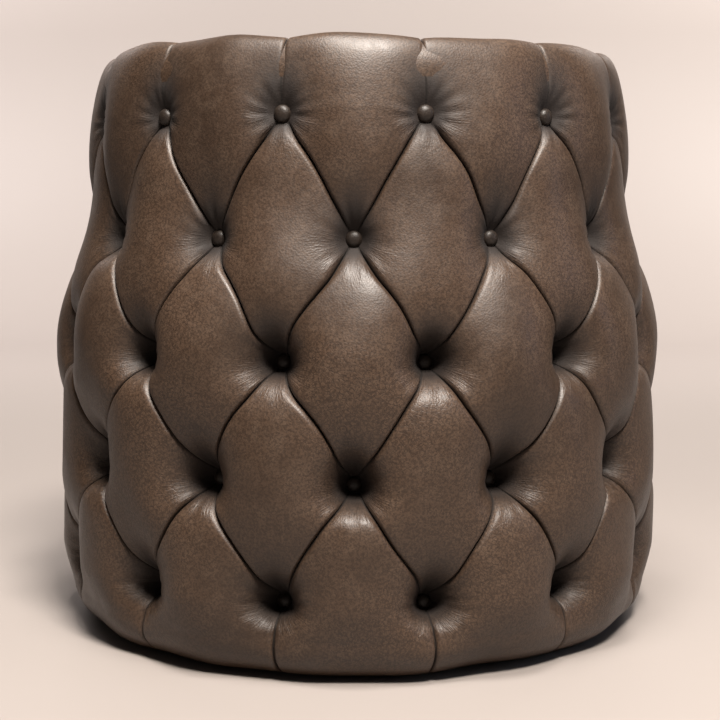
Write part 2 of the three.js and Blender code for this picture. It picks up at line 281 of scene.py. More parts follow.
def rounded_ring(inner, outer, bottom, top, corner):
    """A rectangle section with round corners, as an outline for turned()."""
    points = []
    corners = [(outer, bottom, -90), (outer, top, 0), (inner, top, 90), (inner, bottom, 180)]
    for x, z, start in corners:
        cx = x - corner if x == outer else x + corner
        cz = z - corner if z == top else z + corner
        for angle in np.radians(np.linspace(start, start + 90, 5)):
            points.append((cx + corner * math.cos(angle), cz + corner * math.sin(angle)))
    return points


# ------------------------------------------------------------------ the wall's outline

def wall_radius(z):
    """Radius of the leather at the middle of a diamond."""
    full = BAND_RADIUS + (BULGE_RADIUS - BAND_RADIUS) * smoothstep(-z, -FLARE_TOP, -FLARE_BOTTOM)
    tuck = TUCK_DEPTH * np.clip((TUCK_TOP - z) / (TUCK_TOP - HEM_Z), 0, 1) ** TUCK_POWER
    return full - tuck


def squarish_arc(centre, radii, power, start, end, steps):
    """A quarter of a squarish ellipse, from angle start to angle end in degrees."""
    angle = np.radians(np.linspace(start, end, steps))
    across = np.sign(np.cos(angle)) * np.abs(np.cos(angle)) ** (2 / power)
    up = np.abs(np.sin(angle)) ** (2 / power)
    return np.stack([centre[0] + radii[0] * across, centre[1] + radii[1] * up], 1)


def rim_curve(steps=90):
    """The band leans in slowly, then rounds over sharply to the crest."""
    share = np.sin(np.linspace(0, np.pi / 2, steps)) ** 0.8
    across = np.clip(1 - share ** 1.4, 0, 1) ** (1 / 3.2)
    radius = CREST_RADIUS + (BAND_RADIUS - CREST_RADIUS) * across
    return np.stack([radius, RIM_SPRING_Z + (CREST_Z - RIM_SPRING_Z) * share], 1)


def wall_outline():
    """Points from the hem under the drum, up the wall, over the rim and down inside it."""
    foot_z = 0.032
    inner_spring_z = 0.436
    z = np.linspace(foot_z, RIM_SPRING_Z, 120)
    wall = np.stack([wall_radius(z), z], 1)
    start, end = wall[0], np.array([wall[0, 0] - 0.034, FOOT_Z])
    corner = np.array([wall[0, 0] - 0.006, 3 * FOOT_Z])
    t = np.linspace(0, 1, 14)[:-1, None]
    foot = (1 - t) ** 2 * end + 2 * t * (1 - t) * corner + t ** 2 * start
    hem = np.stack([np.linspace(HEM_RADIUS, end[0], 12)[:-1], np.linspace(HEM_Z, FOOT_Z, 12)[:-1]], 1)
    inside = squarish_arc(
        (CREST_RADIUS, inner_spring_z),
        (CREST_RADIUS - RIM_INNER_RADIUS, CREST_Z - inner_spring_z), 2.3, 90, 180, 24,
    )
    down = np.stack([np.full(6, RIM_INNER_RADIUS), np.linspace(inner_spring_z, RIM_BOTTOM_Z, 7)[1:]], 1)
    return np.vstack([hem, foot, wall, rim_curve()[1:], inside[1:], down])


OUTLINE = wall_outline()
RUN = distances_along(OUTLINE)
NORMAL = normals_of(OUTLINE, RUN)
RUN_TOTAL = float(RUN[-1])


def run_at_height(z):
    """Distance along the outline at a height on the outside of the wall."""
    outside = OUTLINE[:, 0] > CREST_RADIUS
    outside &= RUN < RUN[np.argmax(OUTLINE[:, 1])]
    return np.interp(z, OUTLINE[outside, 1], RUN[outside])


ROW_RUN = run_at_height(ROW_Z)


def run_of_row(row):
    """Distance along the outline at a row number, whole or not, between the lowest and the top row."""
    return np.interp(row, np.arange(ROWS), ROW_RUN)


def place_on_wall(column, run, depth, level):
    """Points at a column number and a distance along the outline, sunk by depth.

    Where level is 1 they are sunk level, towards the drum's axis; where it is 0, square to the outline."""
    radius = np.interp(run, RUN, OUTLINE[:, 0])
    height = np.interp(run, RUN, OUTLINE[:, 1])
    out = np.interp(run, RUN, NORMAL[:, 0])
    up = np.interp(run, RUN, NORMAL[:, 1])
    radius = radius - depth * out
    height = height - depth * up * (1 - level)
    return round_axis(radius, column * HALF, height)


def pits(column, height):
    """Share of a pit's depth at a place on the foam. Each button draws the leather into one."""
    share = 0
    for row in range(ROWS):
        aside = ((column - row) % 2 - 1) * HALF * SEAT_RADIUS
        share = share + np.exp(-(aside ** 2 + (height - ROW_Z[row]) ** 2) / PIT_REACH ** 2)
    return share


# ------------------------------------------------------------------ deep buttoning

def foot_on_segment(x, y, start, end):
    """Distance to a straight crease, and how far along it the nearest point is."""
    along = np.array(end) - np.array(start)
    length = float(np.hypot(*along))
    along /= length
    t = np.clip((x - start[0]) * along[0] + (y - start[1]) * along[1], 0, length)
    away = np.hypot(x - start[0] - t * along[0], y - start[1] - t * along[1])
    return away, t, length


def crease(x, y, start, end, lean, buttoned, floor):
    """One fold between two pillows: its depth, the sideways lean of its lips, and the shade painted along
    its bottom.

    The fold deepens and widens towards an end that is buttoned."""
    away, t, length = foot_on_segment(x, y, start, end)
    near = np.full_like(t, length)
    if buttoned[0]:
        near = np.minimum(near, t)
    if buttoned[1]:
        near = np.minimum(near, length - t)
    gather = np.exp(-near / GATHER_REACH)
    width = CREASE_MOUTH + GATHER_WIDTH * gather
    depth = floor + GATHER_DEPTH * gather
    inside = np.clip(1 - away / width, 0, 1)
    sunk = depth * (1 - np.sqrt(1 - inside ** 2))
    lip = (1 - np.exp(-away / LIP_NEAR)) * np.exp(-away / LIP_FAR)
    lip = lip * smoothstep(near, 0.010, 0.028) * LIP_RISE
    # painted shade along the bottom of the fold
    line = np.exp(-(away / FOLD_SHADE_HALF_WIDTH) ** 2)
    return sunk, lip * lean[0], lip * lean[1], line


def all_creases(x, y, folds):
    """The depth of each fold, the lean of all their lips together, and the darkest shade painted along
    their bottoms.
    """
    depths, side, rise, painted_fold_shade = [], np.zeros_like(x), np.zeros_like(x), np.zeros_like(x)
    for fold in folds:
        depth, lean_side, lean_up, line = crease(x, y, *fold)
        depths.append(depth)
        painted_fold_shade = np.maximum(painted_fold_shade, line)
        side += lean_side
        rise += lean_up
    return depths, side, rise, painted_fold_shade


def reach_of(dx, dy):
    """Distance from a button, stretched so that a hollow is long above it and short below it."""
    turn = np.arctan2(dy, np.abs(dx))
    above, below = np.maximum(np.sin(turn), 0), np.maximum(-np.sin(turn), 0)
    return np.hypot(dx, dy) * (1 - 0.30 * above ** 1.5 + 0.35 * below ** 1.5)


def hollow(distance, reach):
    """Share of the full depth at a stretched distance from a button's middle."""
    outside = np.maximum(distance - 0.75 * BUTTON_RADIUS, 0)
    return np.exp(-(outside / reach) ** 1.2) * (1 - smoothstep(distance, *HOLLOW_END))


def shade_of(dx, dy, reach):
    """How much shade is painted on the leather beside a button: far up the fold above it, less far below
    it.
    """
    up = np.where(dy > 0, 0.55 * dy, 1.35 * dy)
    return np.exp(-np.maximum(np.hypot(dx, up) - BUTTON_RADIUS, 0) / reach)


def combine(limit, *depths):
    """Adds depths without passing the limit."""
    left = np.ones_like(depths[0])
    for depth in depths:
        left = left * (1 - np.clip(depth / limit, 0, 1))
    return limit * (1 - left)


WARP_SIDE = Ripple(3, 26, 60)
WARP_UP = Ripple(4, 26, 60)
SWELL = Ripple(5, 18, 45)
PUCKER = np.random.default_rng(6).uniform(0, 2 * np.pi, (2 * AROUND, ROWS))


def creases_at(place, row):
    """The four folds that meet at a button, keyed so that neighbours don't list one twice."""
    found = {}
    here = (place * COLUMN, float(ROW_RUN[row]))
    for step in (-1, 1):
        if not 0 <= row + step < ROWS:
            edge = RUN_TOTAL if step > 0 else 0.0
            found[place, row, step] = (here, (here[0], edge), PLEAT_LEAN, (True, False), PLEAT_FLOOR)
            continue
        for side in (-1, 1):
            there = ((place + side) * COLUMN, float(ROW_RUN[row + step]))
            lean = DOWN_RIGHT if side == step else DOWN_LEFT
            low = (place, row) if step > 0 else (place + side, row + step)
            key = (*low, side * step, "fold")
            found[key] = (here, there, lean, (True, True), CREASE_FLOOR)
    return found


def bow(x, run, centre_row):
    """Bends the folds upwards, so that a pillow is round at its top and pinched at its lower tip."""
    level = np.interp(run, ROW_RUN, np.arange(ROWS)) - centre_row
    first = np.sin(math.pi * (x / COLUMN + 1 + level) / 2)
    second = np.sin(math.pi * (x / COLUMN + 1 - level) / 2)
    return BOW * FOLD_SIDE * (second - first), BOW * FOLD_UP * (second + first)


FOOT_FLAT_RUN = float(run_at_height(0.016))  # from here down the pillows run together into one round foot
FOOT_FULL_RUN = float(run_at_height(0.045))


def drawn_in(x, run, buttons):
    """What the buttons do to the leather round them: its hollows, the shade painted round them and its fine
    gathers.
    """
    nearest = np.full_like(x, 1.0)
    to_button = np.zeros(x.shape + (3,))
    hollows, gather, pucker = np.zeros_like(x), np.zeros_like(x), np.zeros_like(x)
    for place, row in buttons:
        dx, dy = x - place * COLUMN, run - float(ROW_RUN[row])
        distance = np.hypot(dx, dy)
        closer = distance < nearest
        nearest = np.where(closer, distance, nearest)
        to_button[closer] = np.stack([dx, dy, 0 * dx], -1)[closer]
        hollows = np.maximum(hollows, hollow(reach_of(dx, dy), HOLLOW_REACH[row]))
        # painted shade round this button
        gather = np.maximum(gather, shade_of(dx, dy, SHADE_REACH[row]))
        turn = np.arctan2(dy, dx)
        wave = np.sin(PUCKER_COUNT * turn + PUCKER[place % (2 * AROUND), row] + 40 * distance)
        window = smoothstep(distance, 0.010, 0.015) * (1 - smoothstep(distance, 0.018, 0.034))
        pucker = np.where(closer, wave * window * PUCKER_HEIGHT, pucker)
    return nearest, to_button, hollows, gather, pucker


def wall_limit(column, run):
    """Most that the leather may be sunk: to the foam, deeper in its pits, and little over the rim."""
    limit = np.maximum(np.interp(run, RUN, OUTLINE[:, 0]) - SEAT_RADIUS, RIM_LIMIT)
    limit += PIT_DEPTH * pits(column, np.interp(run, RUN, OUTLINE[:, 1]))
    limit += (RIM_LIMIT - limit) * smoothstep(run, ROW_RUN[-1] + 0.014, ROW_RUN[-1] + 0.040)
    return limit


def wall_patch(patches, column, centre_row, x, run, buttons, crown, flip=False):
    """Adds one pillow of the wall. x is measured sideways from its middle column."""
    angle = column * HALF + x / UNROLL_RADIUS
    flat_x = x + column * COLUMN
    folds = {}
    for place, row in buttons:
        folds.update(creases_at(place, row))
    sunk, side, rise, painted_fold_shade = all_creases(flat_x, run, folds.values())
    nearest, to_button, hollows, gather, pucker = drawn_in(flat_x, run, buttons)
    limit = wall_limit(column + x / COLUMN, run)
    swell = SWELL_HEIGHT * SWELL(angle, run) * (1 - hollows)
    crown = crown * smoothstep(run, FOOT_FLAT_RUN, FOOT_FULL_RUN)
    crown = crown * (1 - 0.55 * smoothstep(run, ROW_RUN[-1] + 0.015, ROW_RUN[-1] + 0.060))
    depth = combine(limit, hollows * limit, *sunk) + crown * (1 - hollows) + pucker - swell
    depth = np.minimum(depth, limit)
    free = smoothstep(nearest, 0.012, 0.035)
    bow_side, bow_up = bow(x, run, centre_row)
    side = side + bow_side + WANDER * WARP_SIDE(angle, run) * free
    rise = rise + bow_up + WANDER * WARP_UP(angle, run) * free
    pinned = smoothstep(run, 0.010, 0.055) * smoothstep(-run, -RUN_TOTAL, -RUN_TOTAL + 0.02)
    moved = np.clip(run + rise * pinned, 0, RUN_TOTAL)
    points = place_on_wall(column + (x + side * pinned) / COLUMN, moved, depth * pinned, hollows)
    fields = {"fold": painted_fold_shade, "gather": gather, "button_gap": nearest, "to_button": to_button}
    patches.add(points, np.stack([flat_x, run], -1), flip, **fields)


TRIAL_STEPS = 30
TRIAL_FRAMES = 20
TRIAL_PRESSURE = 20


def inflate_diamond(half_width, half_height):
    """Cloth simulation of one diamond of leather, held along its four sides and blown up from behind.

    Returns how far it stands out, as a share of its highest point, at evenly spaced places."""
    grid = np.linspace(0, 1, TRIAL_STEPS + 1)
    u, v = np.meshgrid(grid, grid, indexing="ij")
    points = np.stack([(u + v - 1) * half_width, (u - v) * half_height, 0 * u], -1).reshape(-1, 3)
    index = np.arange(len(points)).reshape(u.shape)
    quads = np.stack([index[:-1, :-1], index[:-1, 1:], index[1:, 1:], index[1:, :-1]], -1).reshape(-1, 4)
    mesh = bpy.data.meshes.new("diamond_trial")
    mesh.from_pydata(points.tolist(), [], quads.tolist())
    trial = finish_piece("diamond_trial", mesh)
    edge = np.concatenate([index[0], index[-1], index[:, 0], index[:, -1]])
    trial.vertex_groups.new(name="held").add(sorted(set(edge.tolist())), 1.0, "REPLACE")
    cloth = trial.modifiers.new("cloth", "CLOTH")
    cloth.settings.quality = 8
    cloth.settings.vertex_group_mass = "held"
    cloth.settings.use_pressure = True
    cloth.settings.uniform_pressure_force = TRIAL_PRESSURE
    cloth.settings.effector_weights.gravity = 0
    cloth.point_cache.frame_end = TRIAL_FRAMES
    for frame_number in range(1, TRIAL_FRAMES + 1):
        bpy.context.scene.frame_set(frame_number)
    shape = trial.evaluated_get(bpy.context.evaluated_depsgraph_get()).data
    height = np.array([abs(vertex.co.z) for vertex in shape.vertices]).reshape(u.shape)
    bpy.context.scene.frame_set(1)
    bpy.data.objects.remove(trial)
    bpy.data.meshes.remove(mesh)
    return height / height.max()


def smooth_series(height, count=6):
    """The smooth waves that add up to a height table that is 0 along its edges."""
    steps = len(height) - 1
    waves = np.sin(np.pi * np.outer(np.arange(1, count + 1), np.linspace(0, 1, steps + 1)))
    return waves @ height @ waves.T * (2 / steps) ** 2


def read_series(series, u, v):
    orders = np.arange(1, len(series) + 1)
    across = np.sin(np.pi * orders[:, None, None] * u)
    along = np.sin(np.pi * orders[:, None, None] * v)
    return np.einsum("ij,iab,jab->ab", series, across, along)


DIAMOND_SWELL = smooth_series(inflate_diamond(COLUMN, ROW_STEP))


def add_diamond(patches, column, row):
    """A pillow with a button at each corner."""
    grid = crowded(DIAMOND_STEPS)
    u, v = np.meshgrid(grid, grid, indexing="ij")
    x = (u + v - 1) * COLUMN
    run = run_of_row(row + u - v)
    buttons = [(column - 1, row), (column + 1, row), (column, row + 1), (column, row - 1)]
    crown = CROWN * (1 - np.clip(read_series(DIAMOND_SWELL, u, v), 0, 1) ** CROWN_POWER)
    wall_patch(patches, column, row, x, run, buttons, crown)


def add_band(patches, column, tip_row, end_run):
    """The pillow between two pleats, from a tip at one button out to an edge of the leather."""
    grid = crowded(DIAMOND_STEPS)
    step = 1 if end_run > ROW_RUN[tip_row] else -1
    side_row = tip_row + step
    side_run = float(ROW_RUN[side_row])
    strip_steps = 46
    strip = side_run + (end_run - side_run) * np.linspace(0, 1, strip_steps + 1)[1:] ** 1.15
    run_line = np.concatenate([run_of_row(tip_row + step * grid), strip])
    width_line = np.concatenate([grid, np.ones(strip_steps)])[:, None]
    run, across = np.meshgrid(run_line, 2 * grid - 1, indexing="ij")
    x = across * width_line * COLUMN
    buttons = [(column - 1, side_row), (column + 1, side_row), (column, tip_row)]
    rounded = width_line ** 0.6 * np.clip(1 - across ** 2, 0, 1) ** 0.75
    height = CROWN
    if step > 0:
        height = CROWN + (BAND_CROWN - CROWN) * smoothstep(run, side_run, side_run + 0.02)
    wall_patch(patches, column, side_row, x, run, buttons, height * (1 - rounded), flip=step < 0)


def back_line():
    """The outline of the leather's inner face, from the hem up the foam and into the rim."""
    crest = CREST_Z - BACK_GAP
    inner = RIM_INNER_RADIUS + 0.0028
    hem_top = HEM_Z + 0.0018
    centre = (CREST_RADIUS, BACK_SPRING_Z)
    over = squarish_arc(centre, (BACK_RADIUS - CREST_RADIUS, crest - BACK_SPRING_Z), 2.3, 0, 90, 10)
    inside = squarish_arc(centre, (CREST_RADIUS - inner, crest - BACK_SPRING_Z), 2.3, 90, 180, 8)
    height = np.linspace(hem_top, BACK_SPRING_Z, 121)[1:]
    return np.vstack([
        OUTLINE[:1], [(HEM_RADIUS, hem_top), (BACK_RADIUS, hem_top)],
        np.stack([np.full(len(height), BACK_RADIUS), height], 1),
        over[1:], inside[1:], [(inner, RIM_BOTTOM_Z)], OUTLINE[-1:],
    ])


def add_back(patches):
    """The inner face of the padded leather, against the foam, from the inside of the rim to the hem."""
    line = back_line()
    grid = crowded(DIAMOND_STEPS)
    for column in range(0, 2 * AROUND, 2):
        angle = (column + 2 * grid - 1) * HALF
        radius, height = line[:, 0][:, None], line[:, 1][:, None]
        radius = radius - 1.2 * PIT_DEPTH * pits(angle / HALF, height) * (radius > 0.999 * BACK_RADIUS)
        uv = np.stack([angle * UNROLL_RADIUS + 0 * radius, height + 0 * angle], -1)
        patches.add(round_axis(radius, angle, height), uv, flip=True, **plain_fields(uv.shape[:2]))


def make_wall():
    patches = Patches()
    for row in range(1, ROWS - 1):
        # a row's diamonds stand between its own buttons
        first = 1 if row % 2 == 1 else 0
        for column in range(first, 2 * AROUND, 2):
            add_diamond(patches, column, row)
    for column in range(0, 2 * AROUND, 2):
        add_band(patches, column, ROWS - 2, RUN_TOTAL)
        add_band(patches, column, 1, 0.0)
    add_back(patches)
    return patches.build("wall_leather")


wall = placed(make_wall(), "case", "leather", "wall_cover")


# ------------------------------------------------------------------ foam under the leather

def make_wall_foam():
    """The foam sleeve round the drum, with a pit under each button."""
    low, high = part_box("wall_foam")
    inner, outer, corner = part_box("outer_skin")[1].y + FOAM_GAP, high.y, 0.002
    section = np.array(rounded_ring(inner, outer, low.z, high.z, corner))
    lower_corner, rest = section[:5], section[5:]
    face = np.linspace(low.z + corner, high.z - corner, 130)[1:-1]
    line = np.vstack([lower_corner, np.stack([np.full(len(face), outer), face], 1), rest, section[:1]])
    column = np.linspace(0, 2 * AROUND, 14 * 2 * AROUND + 1)
    radius, height = line[:, 0][:, None], line[:, 1][:, None]
    radius = radius - 1.25 * PIT_DEPTH * pits(column, height) * (radius > outer - corner)
    points = round_axis(radius, column * HALF, height)
    patches = Patches()
    patches.add(points, points[..., ::2])
    return patches.build("wall_padding")


def make_rim_foam():
    """The foam roll inside the rim."""
    low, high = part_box("rim_foam")
    outer, inner, spring = high.y, RIM_INNER_RADIUS + 0.0042, RIM_BOTTOM_Z + 0.0045
    centre, rise = (RIM_FOAM_CREST, spring), high.z - spring
    over = squarish_arc(centre, (outer - RIM_FOAM_CREST, rise), 2, 0, 90, 16)
    inside = squarish_arc(centre, (RIM_FOAM_CREST - inner, rise), 2, 90, 180, 12)
    line = np.vstack([[(inner, low.z), (outer, low.z)], over, inside[1:]])
    return turned("rim_padding", line, sides=160, closed=True)


padding = [make_wall_foam(), make_rim_foam()]
for piece, node in zip(padding, ("wall_foam", "rim_foam")):
    placed(piece, "case", "foam", node)


# ------------------------------------------------------------------ covered buttons

def cap_grid(steps=10, sides=28):
    """A domed, leather-covered button along +Z with small gathers round its edge."""
    ring = np.append(np.sin(np.linspace(0, np.pi / 2, steps)), 0)  # and back to the middle of its flat back
    angle = np.linspace(0, 2 * np.pi, sides + 1)
    radius, turn = np.meshgrid(ring, angle, indexing="ij")
    gathers = 1 + 0.02 * np.sin(14 * turn) * smoothstep(radius, 0.75, 1.0)
    height = BUTTON_HEIGHT * np.sqrt(np.clip(1 - radius ** 2.6, 0, 1))
    height[-1] = 0
    flat = BUTTON_RADIUS * radius * gathers
    return np.stack([flat * np.cos(turn), flat * np.sin(turn), height], -1)


def add_cap(patches, origin, out, up):
    """Places a cap with its back at origin, facing out."""
    out, up = np.array(out, float), np.array(up, float)
    side = np.cross(up, out)
    cap = cap_grid()
    points = np.array(origin) + cap[..., :1] * side + cap[..., 1:2] * up + cap[..., 2:] * out
    patches.add(points, cap[..., :2], flip=True)


def make_wall_buttons(row):
    patches = Patches()
    for place in range((row + 1) % 2, 2 * AROUND, 2):
        angle = place * HALF
        out = np.array([math.sin(angle), -math.cos(angle), 0])
        origin = out * BUTTON_SEAT + np.array([0, 0, ROW_Z[row]])
        add_cap(patches, origin, out, (0, 0, 1))
    return patches.build(f"wall_buttons_{row + 1}")


wall_buttons = [make_wall_buttons(row) for row in range(ROWS)]
for row, piece in enumerate(wall_buttons):
    placed(piece, "case", "dark_leather", f"button_row_{row + 1}")


# ------------------------------------------------------------------ lid cushion

def lid_outline():
    """Points from the middle of the top, over the edge, down the side and in under the board."""
    across = np.sin(np.linspace(0, np.pi / 2, LID_TOP_POINTS))
    height = LID_CROWN_Z - LID_EDGE_TOP_Z
    top = np.stack([LID_RADIUS * across, LID_EDGE_TOP_Z + height * (1 - across ** 2.4) ** 0.6], 1)
    side = np.stack([np.full(10, LID_RADIUS), np.linspace(LID_EDGE_TOP_Z, LID_BOTTOM_Z + 0.004, 11)[1:]], 1)
    under = squarish_arc((LID_RADIUS - 0.004, LID_BOTTOM_Z + 0.004), (0.004, -0.004), 2, 0, 90, 7)[1:]
    lip = np.stack([np.linspace(LID_RADIUS - 0.004, LID_LIP_RADIUS, 8)[1:], np.full(7, LID_BOTTOM_Z)], 1)
    return np.vstack([top, side, under, lip])


LID_OUTLINE = lid_outline()
LID_TOP = LID_OUTLINE[:LID_TOP_POINTS]
LID_RUN = distances_along(LID_OUTLINE)
LID_NORMAL = -normals_of(LID_OUTLINE, LID_RUN)
LID_NORMAL[0] = (0, 1)
LID_BUTTONS = [(0.0, 0.0)] + [
    (LID_RING_RADIUS * math.sin(k * LID_SECTOR), -LID_RING_RADIUS * math.cos(k * LID_SECTOR))
    for k in range(LID_RING_COUNT)
]
LID_SWELL = Ripple(8, 9, 60)


def lid_folds(sector):
    """The folds round one sixth of the lid: to the middle, between two buttons, and out to the edge."""
    first, second = LID_BUTTONS[1 + sector], LID_BUTTONS[1 + (sector + 1) % LID_RING_COUNT]
    inner = [(LID_BUTTONS[0], first), (LID_BUTTONS[0], second), (first, second)]
    reach = 1.2 * LID_RADIUS / LID_RING_RADIUS
    outer = [(button, (button[0] * reach, button[1] * reach)) for button in (first, second)]
    folds = [(*ends, (0, 0), (True, True), LID_CREASE_FLOOR) for ends in inner]
    return folds + [(*ends, (0, 0), (True, False), LID_CREASE_FLOOR) for ends in outer]


def nearest_lid_button(x, y):
    """Distance to the nearest button, and the way from it."""
    nearest, to_button = np.full_like(x, 1.0), np.zeros(x.shape + (3,))
    for place in LID_BUTTONS:
        dx, dy = x - place[0], y - place[1]
        distance = np.hypot(dx, dy)
        closer = distance < nearest
        nearest = np.where(closer, distance, nearest)
        to_button[closer] = np.stack([dx, dy, 0 * dx], -1)[closer]
    return nearest, to_button


def lid_patch(patches, sector, angle, run, crown):
    """Adds one pillow of the lid, given as a grid of angles and of distances from the middle."""
    radius = np.interp(run, LID_RUN, LID_OUTLINE[:, 0])
    height = np.interp(run, LID_RUN, LID_OUTLINE[:, 1])
    on_top = 1 - smoothstep(run, LID_RADIUS * 0.97, LID_RADIUS * 1.10)
    spread = np.where(run < LID_RADIUS, radius, run - LID_RUN[LID_TOP_POINTS - 1] + LID_RADIUS)
    x, y = spread * np.sin(angle), -spread * np.cos(angle)
    spare = np.maximum(height - LID_SEAT_Z, LID_EDGE_LIMIT) - LID_EDGE_LIMIT
    limit = LID_EDGE_LIMIT + spare * on_top
    sunk, _, _, painted_fold_shade = all_creases(x, y, lid_folds(sector))
    nearest, to_button = nearest_lid_button(x, y)
    hollows = hollow(nearest, LID_HOLLOW_REACH)
    swell = LID_SWELL_HEIGHT * LID_SWELL(angle, run) * smoothstep(nearest, 0.010, 0.030)
    swell = swell * smoothstep(radius, 0.01, 0.05)
    held = 1 - smoothstep(run, LID_RADIUS * 0.86, LID_RADIUS * 1.01)
    drawn = combine(limit, hollows * limit, *sunk) * (0.25 + 0.75 * held)
    depth = drawn + (crown * (1 - hollows) - swell) * held
    depth = np.minimum(depth, limit) * smoothstep(-run, -LID_RUN[-1], -LID_RUN[-1] + 0.012)
    out = np.interp(run, LID_RUN, LID_NORMAL[:, 0])
    up = np.interp(run, LID_RUN, LID_NORMAL[:, 1])
    points = round_axis(radius - depth * out, angle, height - depth * up)
    # painted shade round the lid's buttons
    shade = np.exp(-np.maximum(nearest - BUTTON_RADIUS, 0) / (0.7 * SHADE_REACH[0]))
    fields = {"fold": painted_fold_shade * on_top, "gather": shade, "button_gap": nearest, "to_button": to_button}
    patches.add(points, np.stack([x, y], -1), **fields)


def make_lid():
    patches = Patches()
    grid = crowded(LID_STEPS)
    for sector in range(LID_RING_COUNT):
        turn = (sector + grid) * LID_SECTOR
        # the six inner pillows meet the outer ones along a hexagon through the ring of buttons
        chord = LID_RING_RADIUS * math.cos(LID_SECTOR / 2) / np.cos((grid - 0.5) * LID_SECTOR)
        hexagon = np.interp(chord, LID_TOP[:, 0], LID_RUN[:LID_TOP_POINTS])
        share, angle = np.meshgrid(grid, turn, indexing="ij")
        side = 4 * grid * (1 - grid)
        inner_crown = LID_CROWN_DEPTH * (1 - (side * (4 * grid * (1 - grid))[:, None]) ** 0.75)
        lid_patch(patches, sector, angle, share * hexagon, inner_crown)
        out = np.concatenate([0.6 * grid, 0.6 + 0.4 * np.linspace(0, 1, 31)[1:]])
        share, angle = np.meshgrid(out, turn, indexing="ij")
        rounded = side * np.clip(4 * out * (1 - out), 0, 1)[:, None] ** 0.5
        lid_patch(patches, sector, angle, hexagon + share * (LID_RUN[-1] - hexagon),
                  LID_CROWN_DEPTH * (1 - rounded ** 0.75))
    add_lid_back(patches, grid)
    return patches.build("lid_leather")


def add_lid_back(patches, grid):
    """The inner face of the leather, round the foam and the board, closed at the lip."""
    inner = LID_RADIUS - LID_LEATHER
    ceiling, fold_over = LID_SEAT_Z - 0.001, LID_BOTTOM_Z + 0.0008
    line = np.array([
        (0.0, ceiling), (inner - 0.004, ceiling), (inner, LID_SEAT_Z - 0.006), (inner, fold_over),
        (LID_LIP_RADIUS, fold_over), (LID_LIP_RADIUS, LID_BOTTOM_Z),
    ])
    for sector in range(LID_RING_COUNT):
        angle = (sector + grid) * LID_SECTOR
        points = round_axis(line[:, 0][:, None], angle, line[:, 1][:, None])
        patches.add(points, points[..., :2], flip=True, **plain_fields(points.shape[:2]))


lid = placed(make_lid(), "lid", "leather", "lid_cover", "lid_foam")


def make_lid_button(name, place):
    patches = Patches()
    out = np.array([place[0], place[1], 0.0])
    up = out / np.linalg.norm(out) if np.any(out) else np.array([0.0, -1.0, 0.0])
    add_cap(patches, out + np.array([0, 0, LID_SEAT_Z]), (0, 0, 1), up)
    return patches.build(name)


lid_buttons = []
for index, place in enumerate(LID_BUTTONS):
    suffix = str(index) if index else "centre"
    cap = make_lid_button(f"lid_cap_{suffix}", place)
    lid_buttons.append(placed(cap, "lid", "dark_leather", f"lid_button_{suffix}"))


# ------------------------------------------------------------------ piping and pull tab

def tube_ring(name, centre, radius):
    """A round cord bent into a ring; centre is its (radius, height)."""
    sides, around = 20, 360
    turn = np.linspace(0, 2 * np.pi, sides + 1)[:-1]
    outline = np.stack([centre[0] + radius * np.cos(turn), centre[1] + radius * np.sin(turn)], 1)
    return turned(name, outline, around, closed=True)


WELT_LOW, WELT_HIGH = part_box("lid_welt")
WELT_TUBE = (WELT_HIGH.z - WELT_LOW.z) / 2
welt = tube_ring("lid_piping", (WELT_HIGH.x - WELT_TUBE, (WELT_HIGH.z + WELT_LOW.z) / 2), WELT_TUBE)
placed(welt, "lid", "dark_leather", "lid_welt")

TAB_LOW, TAB_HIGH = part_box("pull_tab")
TAB_THICK = 0.0016
TAB_END = 0.128  # distance of the tab's loose end from the lid's middle
TAB_CORNER = 0.006
STITCH_PITCH = 0.0034
STITCH_MARGIN = 0.0025
STITCH_SIZES = (0.0026, 0.0007, 0.0006)  # long, wide and high


def tab_path(steps=60):
    """(distance from the middle, height) along the tab: up beside the piping, then back over the lid."""
    beside = -TAB_LOW.y - TAB_THICK / 2
    over_z = WELT_HIGH.z + 0.0030
    rise = np.stack([np.full(8, beside), np.linspace(TAB_LOW.z, over_z, 8)], 1)
    bend = squarish_arc((beside - 0.005, over_z), (0.005, 0.0042), 2, 0, 90, 10)[1:]
    distance = np.linspace(beside - 0.005, TAB_END, 24)[1:]
    height = np.interp(distance, LID_TOP[:, 0], LID_TOP[:, 1]) + 0.6 * TAB_THICK
    settle = smoothstep(-distance, -bend[-1, 0], -bend[-1, 0] + 0.020)
    height = bend[-1, 1] * (1 - settle) + height * settle
    path = np.vstack([rise, bend, np.stack([distance, height], 1)])
    run = distances_along(path)
    even = np.linspace(0, run[-1], steps)
    return np.stack([np.interp(even, run, path[:, 0]), np.interp(even, run, path[:, 1])], 1), even


def make_tab():
    """A doubled leather strip with rounded corners at its loose end."""
    path, run = tab_path()
    slope = np.gradient(path, run, axis=0)
    normal = np.stack([slope[:, 1], -slope[:, 0]], 1)
    half = (TAB_HIGH.x - TAB_LOW.x) / 2
    left = np.clip(run[-1] - run, 0, TAB_CORNER)
    width = half - TAB_CORNER + np.sqrt(np.maximum(TAB_CORNER ** 2 - (TAB_CORNER - left) ** 2, 0))
    section = np.linspace(0, 2 * np.pi, 41)
    across = np.sign(np.cos(section)) * np.abs(np.cos(section)) ** 0.35
    thick = np.sign(np.sin(section)) * np.abs(np.sin(section)) ** 0.6 * TAB_THICK / 2
    x = width[:, None] * across
    distance = path[:, 0][:, None] + normal[:, 0][:, None] * thick
    height = path[:, 1][:, None] + normal[:, 1][:, None] * thick
    patches = Patches()
    points = np.stack([x, -distance, height], -1)
    points[-1] = points[-1].mean(0)
    points[0, :, 0] *= 0.98
    cap = np.repeat(points[:1].mean(1, keepdims=True), points.shape[1], 1)
    points = np.vstack([cap, points])
    patches.add(points, points[..., :2])
    return patches.build("lid_pull_tab")


tab = placed(make_tab(), "lid", "dark_leather", "pull_tab")


